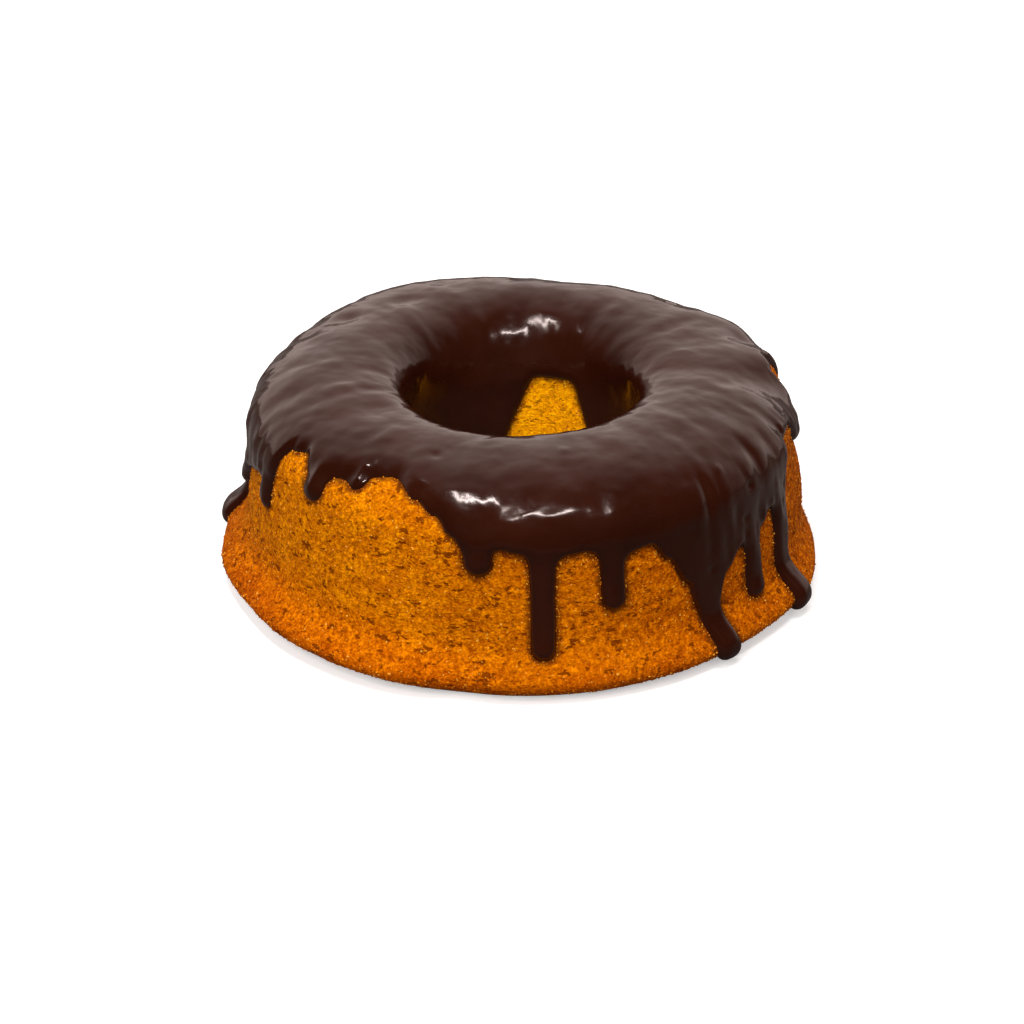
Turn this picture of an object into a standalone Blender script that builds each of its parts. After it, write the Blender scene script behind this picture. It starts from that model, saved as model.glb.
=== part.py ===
"""Carrot ring cake with a poured chocolate glaze, standing on its wide side.

Two solids, in metres, +Z up, origin on the floor under the middle of the cake's plan:
carrot_sponge, the baked ring, and chocolate_glaze, the set coat that lies on it.

Directions round the cake are azimuths in degrees: 0 faces -Y, 90 faces +X. A place on the
skin is an azimuth and a station along the section, and the glaze is a thickness on that skin.
"""

import bpy
import numpy as np

# The baked ring: one section, turned about Z
BASE_R = 0.1036            # wall carried straight down to the floor
WALL_TAPER = 0.113         # metres of radius lost per metre of height
SHOULDER_Z = 0.054         # where the wall starts to round over
CREST_R = 0.064            # highest circle of the ring
CREST_Z = 0.0735
OUTER_ROUND = 2.1          # power of the curve from wall to crest: 2 is an ellipse, more is fuller
INNER_ROUND = 3.2          # the same from the crest into the hole
LIP_Z = 0.057              # where the round top ends and the hole's wall begins
HOLE_TOP_R = 0.0440
HOLE_BASE_R = 0.0372

# The far side of the hole has a rounder lip: how much of each change there is, round the ring
FAR_LIP = ((180.0, 58.0, 1.0),)    # azimuth, half width in degrees, share
FAR_LIP_FLATTER = -1.25            # change of INNER_ROUND
FAR_LIP_DOWN = 0.0100
FAR_LIP_IN = 0.0030
FAR_CREST_OUT = 0.0045
FAR_CREST_DOWN = 0.0014

# The rolled foot, where the batter rose over the tin's rim before the cake was turned out
FOOT_OUT = 0.0066
FOOT_Z = 0.0085
FOOT_HALF_HEIGHT = 0.0068
UNDERCUT = 0.0042          # how far the roll turns under, at the floor
UNDERCUT_HEIGHT = 0.0070
FOOT_LOBES = (             # azimuth, half width in degrees, extra reach
    (-78.0, 10.0, 0.0022),
    (-50.0, 24.0, 0.0026),
    (-24.0, 12.0, 0.0014),
    (-11.0, 5.0, -0.0022),
    (68.0, 12.0, 0.0020),
    (103.0, 18.0, -0.0038),
    (-112.0, 14.0, 0.0014),
    (150.0, 24.0, 0.0012),
)

# How far the ring is from true: waves round it, and a crest a little higher at the back left
CREST_WAVES = ((1, -150.0, 0.0006), (2, 35.0, 0.0004), (3, 80.0, 0.0004))
WALL_WAVES = ((2, 70.0, 0.0005), (3, -20.0, 0.0006), (5, 130.0, 0.0003))
WALL_SWELL = ((98.0, 26.0, 0.0026),)    # azimuth, half width in degrees, how far the wall stands out
SWELL_Z = 0.030
SWELL_HALF_HEIGHT = 0.0145
FULLER = (                 # azimuth, half width in degrees, change of OUTER_ROUND
    (122.0, 9.0, 1.1),
    (104.0, 6.0, 0.9),
    (90.0, 8.0, -0.5),
    (-150.0, 18.0, 0.9),
    (170.0, 13.0, -0.3),
    (-115.0, 14.0, -0.2),
)

# The glaze: thickness on the top, wall and hole, and the half-round of its edge
TOP_DEPTH = 0.0030
WALL_DEPTH = 0.0023
HOLE_DEPTH = 0.0021
DEPTH_SETTLES = 0.035      # distance from the crest at which it has thinned to the wall's or the hole's
EDGE_ROLL = 0.0034
BEAD_DEPTH = 0.0009        # extra at the end of a run, where it set as a drop
BEAD_REACH = 0.0050
BARE_DEPTH = -0.0020       # where there is no glaze its envelope dips into the sponge
DIP_SLOPE = 3.0            # how steeply it dips past the edge
FILLET = 0.0050            # round of the inner corners where runs leave the hem
GAP = 0.0003               # clearance between the two solids

# The hem: height of the glaze's edge round the wall, as (azimuth, height)
HEM = (
    (-165.0, 0.058), (-138.0, 0.052), (-118.0, 0.057), (-104.0, 0.043), (-97.0, 0.038),
    (-90.0, 0.0335), (-84.0, 0.0415), (-78.0, 0.0455), (-72.0, 0.0485), (-65.5, 0.0545),
    (-61.0, 0.0655), (-57.0, 0.0668), (-53.0, 0.0645), (-44.0, 0.0662), (-36.0, 0.0692),
    (-31.0, 0.0700), (-23.5, 0.0668), (-19.0, 0.0642), (-14.3, 0.0612), (-12.0, 0.0565),
    (-4.0, 0.0552), (-1.0, 0.0540), (8.5, 0.0528), (13.0, 0.0538), (22.5, 0.0515),
    (26.5, 0.0522), (30.3, 0.0452), (34.6, 0.0342), (38.0, 0.0230), (42.0, 0.0240),
    (45.0, 0.0320), (49.7, 0.0378), (58.0, 0.0400), (62.2, 0.0432), (69.0, 0.0440),
    (72.5, 0.0530), (76.0, 0.0600), (82.0, 0.0600), (89.0, 0.0520), (94.5, 0.0560),
    (99.0, 0.0655), (103.5, 0.0668), (108.0, 0.0640), (114.0, 0.0600), (130.0, 0.0590), (148.0, 0.0600),
)
# The runs that left the hem: azimuth at root and tip, height of the tip, width at root and neck
RUN_START = 0.004          # how far above the hem a run begins
RUN_NARROWS_OVER = 0.55    # share of its length over which it narrows to the neck
WALL_MEAN_R = 0.0996
RUNS = (
    (-101.0, -99.0, 0.0030, 0.022, 0.0130),
    (-90.5, -90.5, 0.0290, 0.010, 0.0080),
    (-67.2, -67.8, 0.0388, 0.012, 0.0088),
    (-49.4, -49.2, 0.0556, 0.015, 0.0104),
    (-39.4, -38.9, 0.0636, 0.011, 0.0074),
    (-9.6, -8.6, 0.0450, 0.020, 0.0102),
    (4.2, 4.3, 0.0152, 0.011, 0.0084),
    (18.2, 18.4, 0.0310, 0.012, 0.0086),
    (39.6, 41.6, 0.0024, 0.012, 0.0094),
    (54.6, 54.2, 0.0155, 0.010, 0.0086),
    (67.8, 65.2, 0.0024, 0.013, 0.0096),
    (90.5, 90.5, 0.0465, 0.012, 0.0090),
)
# Round the back the runs follow a rule: every few degrees, with a seeded draw of length and width
BACK_FROM, BACK_TO, BACK_STEP = 112.0, 250.0, 13.0
BACK_TIP_HEIGHTS = (0.014, 0.052)
BACK_WIDTHS = (0.0078, 0.0108)
BACK_ROOT_SPREAD = 1.4     # root width over neck width
BACK_WANDER, BACK_SLANT = 3.5, 1.0   # degrees
BACK_SEED = 11

# In the hole the glaze stops short of the floor and leaves one bare patch on the far wall
HOLE_EDGE_Z = 0.0045
HOLE_EDGE_WAVES = ((3, 40.0, 0.0012), (7, 10.0, 0.0008))
PATCH_AZIMUTH = 163.0
PATCH_TOP_Z = 0.0520
PATCH_HALF_TOP = 0.0078
PATCH_SPREAD = 0.42        # half width gained per metre down the wall
PATCH_ROUND = 0.0030

# Soft lumps and dips of the glaze, longer down the slope than across, and hollows where it sank in
LUMP_COUNT = 170
LUMP_SEED = 5
LUMP_FROM_CREST = (-0.012, 0.036)        # distance of their middles outward from the crest
LUMP_HALF_WIDTHS = (0.0028, 0.0052)
LUMP_HALF_LENGTHS = (0.0050, 0.0115)
LUMP_HEIGHTS = (-0.00060, 0.00055)
# Degrees from the front, and the share of the height that a lump has there
LUMP_SHARE = ((20.0, 60.0, 130.0, 165.0), (0.45, 1.0, 1.0, 0.6))
HOLLOWS = (                # azimuth, distance outward from the crest, radius, depth
    (-125.0, 0.012, 0.0045, 0.0014),
    (-141.0, 0.006, 0.0050, 0.0010),
    (138.0, 0.020, 0.0036, 0.0014),
    (113.0, 0.022, 0.0048, 0.0015),
    (-20.0, 0.004, 0.0070, 0.0007),
    (48.0, 0.010, 0.0060, 0.0007),
    (-58.0, -0.004, 0.0065, 0.0008),
    (74.0, 0.006, 0.0060, 0.0008),
)

# Facets
SPONGE_COLUMNS = 84
FOOT_ROW_HEIGHTS = (0.0, 0.0014, 0.0034, 0.0060, 0.0090, 0.0125, 0.0165, 0.0215)
WALL_ROWS, OVER_ROWS, HOLE_ROWS = 4, 11, 4
GLAZE_COLUMNS = 640
GLAZE_WALL_ROWS, GLAZE_OVER_ROWS, GLAZE_HOLE_ROWS = 76, 56, 30
GLAZE_LOWEST = 0.0006      # the envelope's lowest ring, above the floor
GLAZE_SHARE_KEPT = 0.035    # of the fine envelope's triangles

# Stations along the section, from the floor outside to the floor in the hole
WALL, SHOULDER, CREST, LIP, FLOOR = 0.0, 1.0, 2.0, 3.0, 4.0


def waves(azimuth, terms):
    """Sum of (count, phase in degrees, height) cosines round the ring."""
    return sum(h * np.cos(n * azimuth - np.radians(phase)) for n, phase, h in terms)


def apart(azimuth, other_deg):
    """Signed angle from another azimuth, the short way round."""
    return (azimuth - np.radians(other_deg) + np.pi) % (2 * np.pi) - np.pi


def lobes(azimuth, terms):
    """Sum of (azimuth, half width in degrees, height) bumps round the ring."""
    return sum(h * np.exp(-((apart(azimuth, middle) / np.radians(half)) ** 2)) for middle, half, h in terms)


def wall_radius(azimuth, z):
    """Outside of the ring below the shoulder: a tapered wall with the rolled foot."""
    roll = (FOOT_OUT + lobes(azimuth, FOOT_LOBES)) * np.exp(-(((z - FOOT_Z) / FOOT_HALF_HEIGHT) ** 2))
    under = UNDERCUT * np.clip(1 - z / UNDERCUT_HEIGHT, 0, 1) ** 2
    swell = lobes(azimuth, WALL_SWELL) * np.exp(-(((z - SWELL_Z) / SWELL_HALF_HEIGHT) ** 2))
    return BASE_R - WALL_TAPER * z + roll - under + swell + waves(azimuth, WALL_WAVES)


def quarter_round(share, power):
    """Quarter of a superellipse, from (1, 0) at share 0 to (0, 1) at share 1, in even steps of angle."""
    angle = np.clip(share, 0, 1) * np.pi / 2
    across, up = np.abs(np.cos(angle)), np.abs(np.sin(angle))
    reach = (across ** power + up ** power) ** (-1 / power)
    return across * reach, up * reach


def section(azimuth, station):
    """Radius and height of the sponge's skin at a station from WALL (floor, outside) to FLOOR (in the hole)."""
    lean = waves(azimuth, WALL_WAVES)
    far = lobes(azimuth, FAR_LIP)
    crest_r = CREST_R + FAR_CREST_OUT * far
    crest_z = CREST_Z - FAR_CREST_DOWN * far + waves(azimuth, CREST_WAVES)
    lip_z = LIP_Z - FAR_LIP_DOWN * far
    lip_r = HOLE_TOP_R - FAR_LIP_IN * far + 0.5 * lean
    wall_z = SHOULDER_Z * np.clip(station, 0, 1)
    out_r, out_z = quarter_round(station - SHOULDER, OUTER_ROUND + lobes(azimuth, FULLER))
    in_z, in_r = quarter_round(station - CREST, INNER_ROUND + FAR_LIP_FLATTER * far)
    hole_share = np.clip(FLOOR - station, 0, 1)
    shoulder_r = wall_radius(azimuth, SHOULDER_Z)
    foot_r = HOLE_BASE_R + 0.5 * lean
    stretches = [station <= SHOULDER, station <= CREST, station <= LIP, station > LIP]
    radius = np.select(stretches, [
        wall_radius(azimuth, wall_z),
        crest_r + (shoulder_r - crest_r) * out_r,
        crest_r - (crest_r - lip_r) * in_r,
        foot_r + (lip_r - foot_r) * hole_share,
    ])
    height = np.select(stretches, [
        wall_z,
        SHOULDER_Z + (crest_z - SHOULDER_Z) * out_z,
        lip_z + (crest_z - lip_z) * in_z,
        lip_z * hole_share,
    ])
    return radius, height


def skin_points(azimuth, station):
    """Points of the sponge's skin as x, y, z."""
    radius, height = section(azimuth, station)
    return np.stack([radius * np.sin(azimuth), -radius * np.cos(azimuth), height], axis=-1)


def skin_normals(azimuth, station):
    """Outward unit normals of the skin, from small steps along it."""
    step = 1e-3
    round_it = skin_points(azimuth + step, station) - skin_points(azimuth - step, station)
    down_it = skin_points(azimuth, station + step) - skin_points(azimuth, station - step)
    normal = np.cross(round_it, down_it)
    return normal / np.linalg.norm(normal, axis=-1, keepdims=True)


def distance_from_crest(station):
    """Length along the mean section from the crest: outward positive, into the hole negative."""
    fine = np.linspace(WALL, FLOOR, 801)
    radius, height = section(np.zeros_like(fine), fine)
    run = np.concatenate([[0], np.cumsum(np.hypot(np.diff(radius), np.diff(height)))])
    return np.interp(CREST, fine, run) - np.interp(station, fine, run)


def outward_of_height(z):
    """Distance from the crest at which the outside of the ring is at height z."""
    stations = np.linspace(WALL, CREST, 401)
    heights = section(np.zeros_like(stations), stations)[1]
    return np.interp(z, heights, distance_from_crest(stations))


def hem_distance(azimuth):
    """Distance from the crest to the hem, smoothly between the hem's heights."""
    turn = 360.0
    anchors = sorted((a % turn, outward_of_height(z)) for a, z in HEM)
    angles = np.array([anchors[-1][0] - turn] + [a for a, _ in anchors] + [anchors[0][0] + turn])
    values = np.array([anchors[-1][1]] + [v for _, v in anchors] + [anchors[0][1]])
    degrees = np.degrees(azimuth) % turn
    i = np.clip(np.searchsorted(angles, degrees) - 1, 0, len(angles) - 2)
    share = (degrees - angles[i]) / (angles[i + 1] - angles[i])
    share = share * share * (3 - 2 * share)
    return values[i] + (values[i + 1] - values[i]) * share


def back_runs():
    """Runs for the far side, with the front ones' statistics."""
    draw = np.random.default_rng(BACK_SEED)
    runs = []
    for azimuth in np.arange(BACK_FROM, BACK_TO, BACK_STEP):
        root = azimuth + draw.uniform(-BACK_WANDER, BACK_WANDER)
        neck = draw.uniform(*BACK_WIDTHS)
        tip = root + draw.uniform(-BACK_SLANT, BACK_SLANT)
        runs.append((root, tip, draw.uniform(*BACK_TIP_HEIGHTS), neck * BACK_ROOT_SPREAD, neck))
    return tuple(runs)


def smooth_max(a, b, k):
    """The larger of two, with the corner where they cross filled by a fillet of size k."""
    near = np.clip(0.5 + 0.5 * (a - b) / k, 0, 1)
    return b + (a - b) * near + k * near * (1 - near)


def run_cover(azimuth, outward, run):
    """How far inside a run a point is, and how near it is to the bead at the run's tip."""
    root_az, tip_az, tip_z, root_width, neck_width = run
    tip = outward_of_height(tip_z + neck_width / 2)
    root = float(hem_distance(np.radians(root_az))) - RUN_START
    along = np.clip((outward - root) / (tip - root), 0, 1)
    middle = root_az + (tip_az - root_az) * along
    aside = apart(azimuth, middle) * WALL_MEAN_R
    past = np.maximum(outward - tip, 0) + np.minimum(outward - root, 0)
    narrowing = np.clip(along / RUN_NARROWS_OVER, 0, 1)
    half = (root_width + (neck_width - root_width) * np.sin(narrowing * np.pi / 2)) / 2
    return half - np.hypot(aside, past), np.hypot(aside, outward - tip)


def hole_cover(azimuth, station):
    """How far inside the glaze a point in the hole is."""
    height = section(azimuth, station)[1]
    above_edge = height - HOLE_EDGE_Z - waves(azimuth, HOLE_EDGE_WAVES)
    aside = np.abs(apart(azimuth, PATCH_AZIMUTH)) * (HOLE_BASE_R + HOLE_TOP_R) / 2
    below = PATCH_TOP_Z - height
    half = PATCH_HALF_TOP + PATCH_SPREAD * np.maximum(below, 0)
    outside_patch = smooth_max(aside - half, -below, PATCH_ROUND)
    return -smooth_max(-above_edge, -outside_patch, PATCH_ROUND)


def lumps(azimuth, outward):
    """Long low lumps and dips, calmer at the front."""
    draw = np.random.default_rng(LUMP_SEED)
    total = np.zeros_like(azimuth)
    for _ in range(LUMP_COUNT):
        middle = draw.uniform(-180.0, 180.0)
        distance = draw.uniform(*LUMP_FROM_CREST)
        half_width = draw.uniform(*LUMP_HALF_WIDTHS)
        half_length = draw.uniform(*LUMP_HALF_LENGTHS)
        height = draw.uniform(*LUMP_HEIGHTS) * np.interp(abs(middle), *LUMP_SHARE)
        aside = apart(azimuth, middle) * (CREST_R + distance)
        total += height * np.exp(-((aside / half_width) ** 2) - ((outward - distance) / half_length) ** 2)
    return total


def hollows(azimuth, outward):
    """Round dents in the glaze."""
    total = np.zeros_like(azimuth)
    for middle, distance, radius, depth in HOLLOWS:
        aside = apart(azimuth, middle) * (CREST_R + distance)
        total -= depth * np.exp(-((aside ** 2 + (outward - distance) ** 2) / radius ** 2))
    return total


def glaze_depth(azimuth, station):
    """Thickness of the glaze on the skin. Below zero it is bare."""
    outward = distance_from_crest(station)
    cover = hem_distance(azimuth) - outward
    bead = np.zeros_like(cover)
    for run in RUNS + back_runs():
        inside, to_tip = run_cover(azimuth, outward, run)
        cover = smooth_max(cover, inside, FILLET)
        bead = np.maximum(bead, BEAD_DEPTH * np.exp(-((to_tip / BEAD_REACH) ** 2)))
    cover = np.where(station > CREST, hole_cover(azimuth, station), cover)
    down = np.clip(np.abs(outward) / DEPTH_SETTLES, 0, 1)
    full = TOP_DEPTH + (np.where(station > CREST, HOLE_DEPTH, WALL_DEPTH) - TOP_DEPTH) * down
    roll = np.sqrt(1 - (1 - np.clip(cover / EDGE_ROLL, 0, 1)) ** 2)
    depth = (full + bead + lumps(azimuth, outward) + hollows(azimuth, outward)) * roll
    return np.where(cover > 0, depth, np.maximum(DIP_SLOPE * cover, BARE_DEPTH))


def ring_mesh(name, rows, material):
    """An object from rows of points, each a closed loop round the ring, the last row next to the first."""
    row_count, column_count, _ = rows.shape
    index = np.arange(row_count * column_count).reshape(row_count, column_count)
    below = np.roll(index, -1, axis=0)
    quads = np.stack([index, np.roll(index, -1, 1), np.roll(below, -1, 1), below], axis=-1).reshape(-1, 4)
    halves = np.concatenate([quads[:, [0, 1, 2]], quads[:, [0, 2, 3]]])
    mesh = bpy.data.meshes.new(name)
    mesh.from_pydata(rows.reshape(-1, 3).tolist(), [], halves.tolist())
    mesh.materials.append(material)
    mesh.shade_smooth()
    made = bpy.data.objects.new(name, mesh)
    bpy.context.scene.collection.objects.link(made)
    return made


def section_grid(stations, columns):
    """Azimuth and station of every point of a ring mesh, one row for each station."""
    azimuths = np.linspace(0, 2 * np.pi, columns, endpoint=False)
    return np.meshgrid(azimuths, stations, indexing="xy")


def food_material(name, colour, roughness):
    """A Principled BSDF in one colour."""
    made = bpy.data.materials.new(name)
    made.use_nodes = True
    shader = made.node_tree.nodes["Principled BSDF"]
    shader.inputs["Base Color"].default_value = (*colour, 1.0)
    shader.inputs["Roughness"].default_value = roughness
    shader.inputs["Metallic"].default_value = 0.0
    return made


def sponge_stations():
    """Rows of the sponge: close together on the foot, wider up the wall, arcs over the top."""
    foot = np.array(FOOT_ROW_HEIGHTS) / SHOULDER_Z
    wall = np.linspace(foot[-1], SHOULDER, WALL_ROWS)[1:]
    over = np.linspace(SHOULDER, LIP, OVER_ROWS)[1:]
    hole = np.linspace(LIP, FLOOR, HOLE_ROWS)[1:]
    return np.concatenate([foot, wall, over, hole])


def sponge_solid(name, swelling, material):
    """The baked ring, grown by a swelling along its normals, closed by its flat base."""
    azimuth, station = section_grid(sponge_stations(), SPONGE_COLUMNS)
    points = skin_points(azimuth, station) + swelling * skin_normals(azimuth, station)
    points[0, :, 2] = -swelling
    points[-1, :, 2] = -swelling
    return ring_mesh(name, points, material)


def glaze_envelope(name, material):
    """The glaze's outside where there is glaze, and a skin inside the sponge where there is none."""
    stations = np.concatenate([
        np.linspace(GLAZE_LOWEST / SHOULDER_Z, SHOULDER, GLAZE_WALL_ROWS),
        np.linspace(SHOULDER, LIP, GLAZE_OVER_ROWS)[1:],
        np.linspace(LIP, FLOOR - GLAZE_LOWEST / LIP_Z, GLAZE_HOLE_ROWS)[1:],
    ])
    azimuth, station = section_grid(stations, GLAZE_COLUMNS)
    depth = glaze_depth(azimuth, station)
    depth[0] = depth[-1] = BARE_DEPTH
    points = skin_points(azimuth, station) + depth[..., None] * skin_normals(azimuth, station)
    points[..., 2] = np.maximum(points[..., 2], GLAZE_LOWEST)
    return ring_mesh(name, points, material)


def glaze_solid(name, material, cutter):
    """The envelope with few facets, less the sponge and the gap round it."""
    made = glaze_envelope(name, material)
    fewer = made.modifiers.new("fewer facets", "DECIMATE")
    fewer.ratio = GLAZE_SHARE_KEPT
    fewer.use_collapse_triangulate = True
    cut = made.modifiers.new("room for the sponge", "BOOLEAN")
    cut.operation = "DIFFERENCE"
    cut.object = cutter
    cut.solver = "EXACT"
    return made


def stand_over_origin(pieces, outside):
    """Hang the pieces on an empty that puts the middle of the outside ones' plan over the origin."""
    corners = np.array([vertex.co for piece in outside for vertex in piece.data.vertices])
    middle = (corners.min(axis=0) + corners.max(axis=0)) / 2
    standing = bpy.data.objects.new("standing_point", None)
    bpy.context.scene.collection.objects.link(standing)
    standing.location = (-middle[0], -middle[1], 0.0)
    for piece in pieces:
        piece.parent = standing


def main():
    for old in list(bpy.data.objects):
        bpy.data.objects.remove(old)
    crumb = food_material("carrot crumb", (0.62, 0.20, 0.012), 0.85)
    chocolate = food_material("chocolate glaze", (0.045, 0.014, 0.008), 0.25)
    sponge = sponge_solid("carrot_sponge", 0.0, crumb)
    cutter = sponge_solid("room_for_sponge", GAP, crumb)
    cutter.hide_render = True
    cutter.display_type = "WIRE"
    glaze = glaze_solid("chocolate_glaze", chocolate, cutter)
    stand_over_origin((sponge, cutter, glaze), (sponge, glaze))


main()
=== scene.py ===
import math

import bpy
import numpy as np
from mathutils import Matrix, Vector


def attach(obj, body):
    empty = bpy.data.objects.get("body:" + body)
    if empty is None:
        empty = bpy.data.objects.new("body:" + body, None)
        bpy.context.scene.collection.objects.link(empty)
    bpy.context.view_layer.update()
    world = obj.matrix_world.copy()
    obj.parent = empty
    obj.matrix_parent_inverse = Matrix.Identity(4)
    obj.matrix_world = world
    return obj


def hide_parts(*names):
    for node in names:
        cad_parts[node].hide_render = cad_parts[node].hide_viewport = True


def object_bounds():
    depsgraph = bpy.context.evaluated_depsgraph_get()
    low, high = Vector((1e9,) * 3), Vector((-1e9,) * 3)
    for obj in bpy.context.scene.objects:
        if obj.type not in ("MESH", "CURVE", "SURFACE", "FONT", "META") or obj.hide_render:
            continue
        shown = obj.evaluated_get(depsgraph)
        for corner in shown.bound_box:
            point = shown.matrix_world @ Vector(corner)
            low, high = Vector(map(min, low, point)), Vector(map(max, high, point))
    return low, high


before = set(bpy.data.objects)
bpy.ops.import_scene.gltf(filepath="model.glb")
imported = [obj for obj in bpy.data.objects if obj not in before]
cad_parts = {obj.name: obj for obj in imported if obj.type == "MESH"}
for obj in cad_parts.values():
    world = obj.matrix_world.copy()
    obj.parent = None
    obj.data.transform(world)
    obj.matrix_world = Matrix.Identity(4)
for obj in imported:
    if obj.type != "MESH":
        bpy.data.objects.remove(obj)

cad_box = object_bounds()


# The view and the light. A long lens looks down at 28 degrees from 1.2 m, over a pale floor. The
# room is pale behind the cake and dim in front, which is what the satin top of the glaze mirrors.
# Two narrow strip lamps overhead make the hard glints, and two soft ones in front fill unmirrored.
camera_distance = 1.2
camera_elevation = math.radians(28.0)
aim_height = 0.035
lens_mm, sensor_mm = 115.2, 36.0
image_px = 1024
aim_px_right_of_middle, aim_px_above_middle = 9.0, 44.2
floor_size, floor_roughness = 9.0, 0.9
floor_seen, floor_bounce = (0.90, 0.90, 0.90), (0.30, 0.28, 0.25)    # to the camera, as it lights
mirrored_front, mirrored_back = (0.06, 0.06, 0.06), (0.20, 0.18, 0.17)    # as the glaze mirrors it
mirrored_turns = (-0.14, 0.04)    # from this far in front of the middle to this far behind it
floor_glow = 0.42    # lifts the shadows that the camera sees on it
# Each lamp's name, watts, width, height, azimuth, elevation, distance, colour, and whether it is mirrored
lamps = (
    ("strip_right", 5.0, 0.40, 0.045, 20.0, 66.0, 1.25, (1.0, 1.0, 1.0), True),
    ("strip_left", 5.5, 0.44, 0.045, -60.0, 77.0, 1.24, (1.0, 1.0, 1.0), True),
    ("soft_front_left", 17.5, 0.9, 0.8, -28.0, 39.0, 1.7, (1.0, 0.98, 0.95), False),
    ("soft_front_right", 7.0, 0.9, 0.8, 38.0, 37.0, 1.8, (1.0, 0.98, 0.95), False),
)
room_colour = (1.0, 0.83, 0.77, 1.0)
room_pale, room_dim = 1.15, 0.045    # brightness of the room behind the cake and in front of it
room_turns_pale, room_is_pale = -0.10, 0.88    # share of +Y in a direction at which it starts and ends
table_reach, hole_reach, same_point_digits = 1e-4, 0.05, 6

# The hole's axis, from the vertices that the CAD sponge has at the foot of its hole.
hole_foot = {tuple(round(c, same_point_digits) for c in v.co)
             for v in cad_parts["carrot_sponge"].data.vertices
             if v.co.z < table_reach and v.co.xy.length < hole_reach}
axis_x, axis_y = (float(c) for c in np.mean([point[:2] for point in hole_foot], axis=0))
aim = Vector((axis_x, axis_y, aim_height))

bpy.ops.object.select_all(action="DESELECT")
toward_camera = Vector((0.0, -math.cos(camera_elevation), math.sin(camera_elevation)))
bpy.ops.object.camera_add(location=aim + camera_distance * toward_camera,
                          rotation=(math.pi / 2 - camera_elevation, 0.0, 0.0))
camera = bpy.context.object
camera.data.lens = lens_mm
camera.data.sensor_width = sensor_mm
camera.data.shift_x = -aim_px_right_of_middle / image_px
camera.data.shift_y = -aim_px_above_middle / image_px
bpy.context.scene.camera = camera

for name, watts, width, height, azimuth_deg, elevation_deg, distance, colour, mirrored in lamps:
    turn, up = math.radians(azimuth_deg), math.radians(elevation_deg)
    toward_lamp = Vector((math.sin(turn) * math.cos(up), -math.cos(turn) * math.cos(up), math.sin(up)))
    bpy.ops.object.light_add(type="AREA", location=aim + distance * toward_lamp)
    lamp = bpy.context.object
    lamp.name = name
    lamp.rotation_euler = toward_lamp.to_track_quat("Z", "Y").to_euler()
    lamp.data.shape = "RECTANGLE"
    lamp.data.size, lamp.data.size_y = width, height
    lamp.data.energy = watts
    lamp.data.color = colour
    lamp.visible_glossy = mirrored


def add(tree, kind, inputs=None, **settings):
    """A node with its settings, and a value or a link on each of its named or numbered inputs."""
    made = tree.nodes.new(kind)
    for key, value in settings.items():
        setattr(made, key, value)
    for key, value in (inputs or {}).items():
        if isinstance(value, bpy.types.NodeSocket):
            tree.links.new(value, made.inputs[key])
        else:
            made.inputs[key].default_value = value
    return made


def math_node(tree, operation, *values):
    """A Math node's result."""
    return add(tree, "ShaderNodeMath", dict(enumerate(values)), operation=operation).outputs[0]


def times(tree, value, number):
    """A value multiplied."""
    return math_node(tree, "MULTIPLY", value, number)


def between(tree, value, low, high):
    """0 below low, 1 above high, and even between."""
    made = add(tree, "ShaderNodeMapRange", {"Value": value, "From Min": low, "From Max": high})
    return made.outputs["Result"]


def blend(tree, share, first, second):
    """Two colours mixed by a share."""
    made = add(tree, "ShaderNodeMix", {0: share}, data_type="RGBA")
    for number, value in ((6, first), (7, second)):
        if isinstance(value, bpy.types.NodeSocket):
            tree.links.new(value, made.inputs[number])
        else:
            made.inputs[number].default_value = (*value, 1.0)
    return made.outputs[2]


world = bpy.data.worlds.new("room")
world.use_nodes = True
room = world.node_tree
facing = add(room, "ShaderNodeSeparateXYZ", {"Vector": add(room, "ShaderNodeTexCoord").outputs["Generated"]})
brightness = add(room, "ShaderNodeMapRange", {
    "Value": facing.outputs["Y"], "From Min": room_turns_pale, "From Max": room_is_pale,
    "To Min": room_dim, "To Max": room_pale}, interpolation_type="SMOOTHSTEP")
room.nodes["Background"].inputs["Color"].default_value = room_colour
room.links.new(brightness.outputs["Result"], room.nodes["Background"].inputs["Strength"])
bpy.context.scene.world = world
bpy.context.scene.view_settings.view_transform = "Standard"

bpy.ops.mesh.primitive_plane_add(size=floor_size)
floor = bpy.context.object
floor.name = "floor"
floor_paint = bpy.data.materials.new("floor paint")
floor_paint.use_nodes = True
tree = floor_paint.node_tree
painted = tree.nodes["Principled BSDF"]
painted.inputs["Roughness"].default_value = floor_roughness
painted.inputs["Specular IOR Level"].default_value = 0.0
painted.inputs["Emission Color"].default_value = (1.0, 1.0, 1.0, 1.0)
ray = add(tree, "ShaderNodeLightPath")
place = add(tree, "ShaderNodeSeparateXYZ", {"Vector": add(tree, "ShaderNodeTexCoord").outputs["Object"]})
as_mirrored = blend(tree, between(tree, place.outputs["Y"], *mirrored_turns), mirrored_front, mirrored_back)
as_light = blend(tree, ray.outputs["Is Glossy Ray"], floor_bounce, as_mirrored)
as_seen = blend(tree, ray.outputs["Is Camera Ray"], as_light, floor_seen)
tree.links.new(as_seen, painted.inputs["Base Color"])
tree.links.new(times(tree, ray.outputs["Is Camera Ray"], floor_glow), painted.inputs["Emission Strength"])
floor.data.materials.append(floor_paint)


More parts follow.
